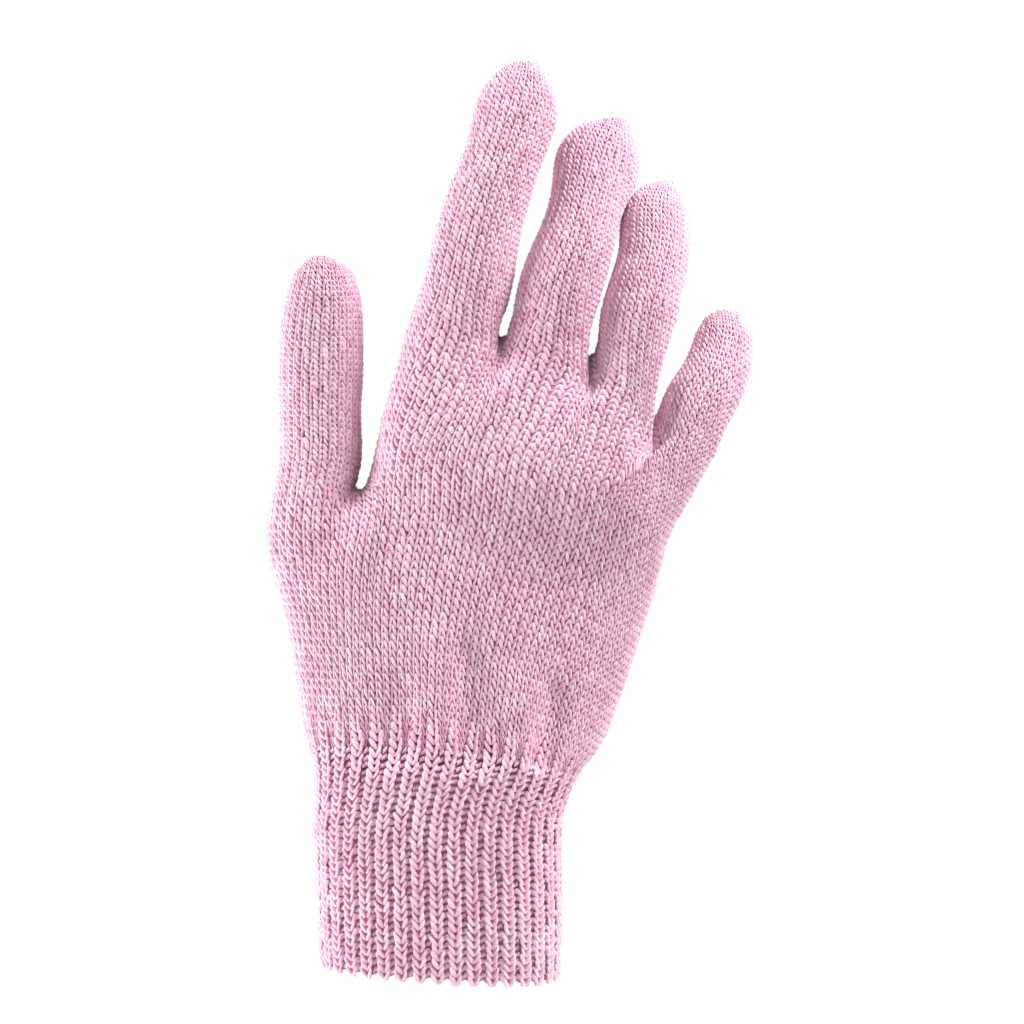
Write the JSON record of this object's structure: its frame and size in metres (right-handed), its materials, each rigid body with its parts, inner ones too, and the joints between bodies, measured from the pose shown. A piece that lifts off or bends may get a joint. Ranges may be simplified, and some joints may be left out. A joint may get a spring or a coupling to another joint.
{
  "type": "knit glove",
  "caption": "Stretch-knit glove for a right hand in its worn shape, with separate finger tubes and a long ribbed cuff.",
  "frame": {"origin": "middle of the wrist opening at the lower end of the cuff", "axes": "+Z from the wrist opening up the hand to the fingertips, -Y out of the back of the hand, +Y out of the palm, +X to the little finger's side"},
  "size_m": [0.1276, 0.0458, 0.2385],
  "materials": {
    "plain_knit": "soft matt yarn in plain knit, pale pink with darker gaps between the stitches",
    "rib_knit": "soft matt yarn in one-by-one rib, pale pink with darker furrows"
  },
  "bodies": {
    "root": {"ribbed_cuff": "rib_knit", "hand": "plain_knit", "thumb": "plain_knit", "index_finger": "plain_knit", "middle_finger": "plain_knit", "ring_finger": "plain_knit", "little_finger": "plain_knit"}
  },
  "joints": []
}
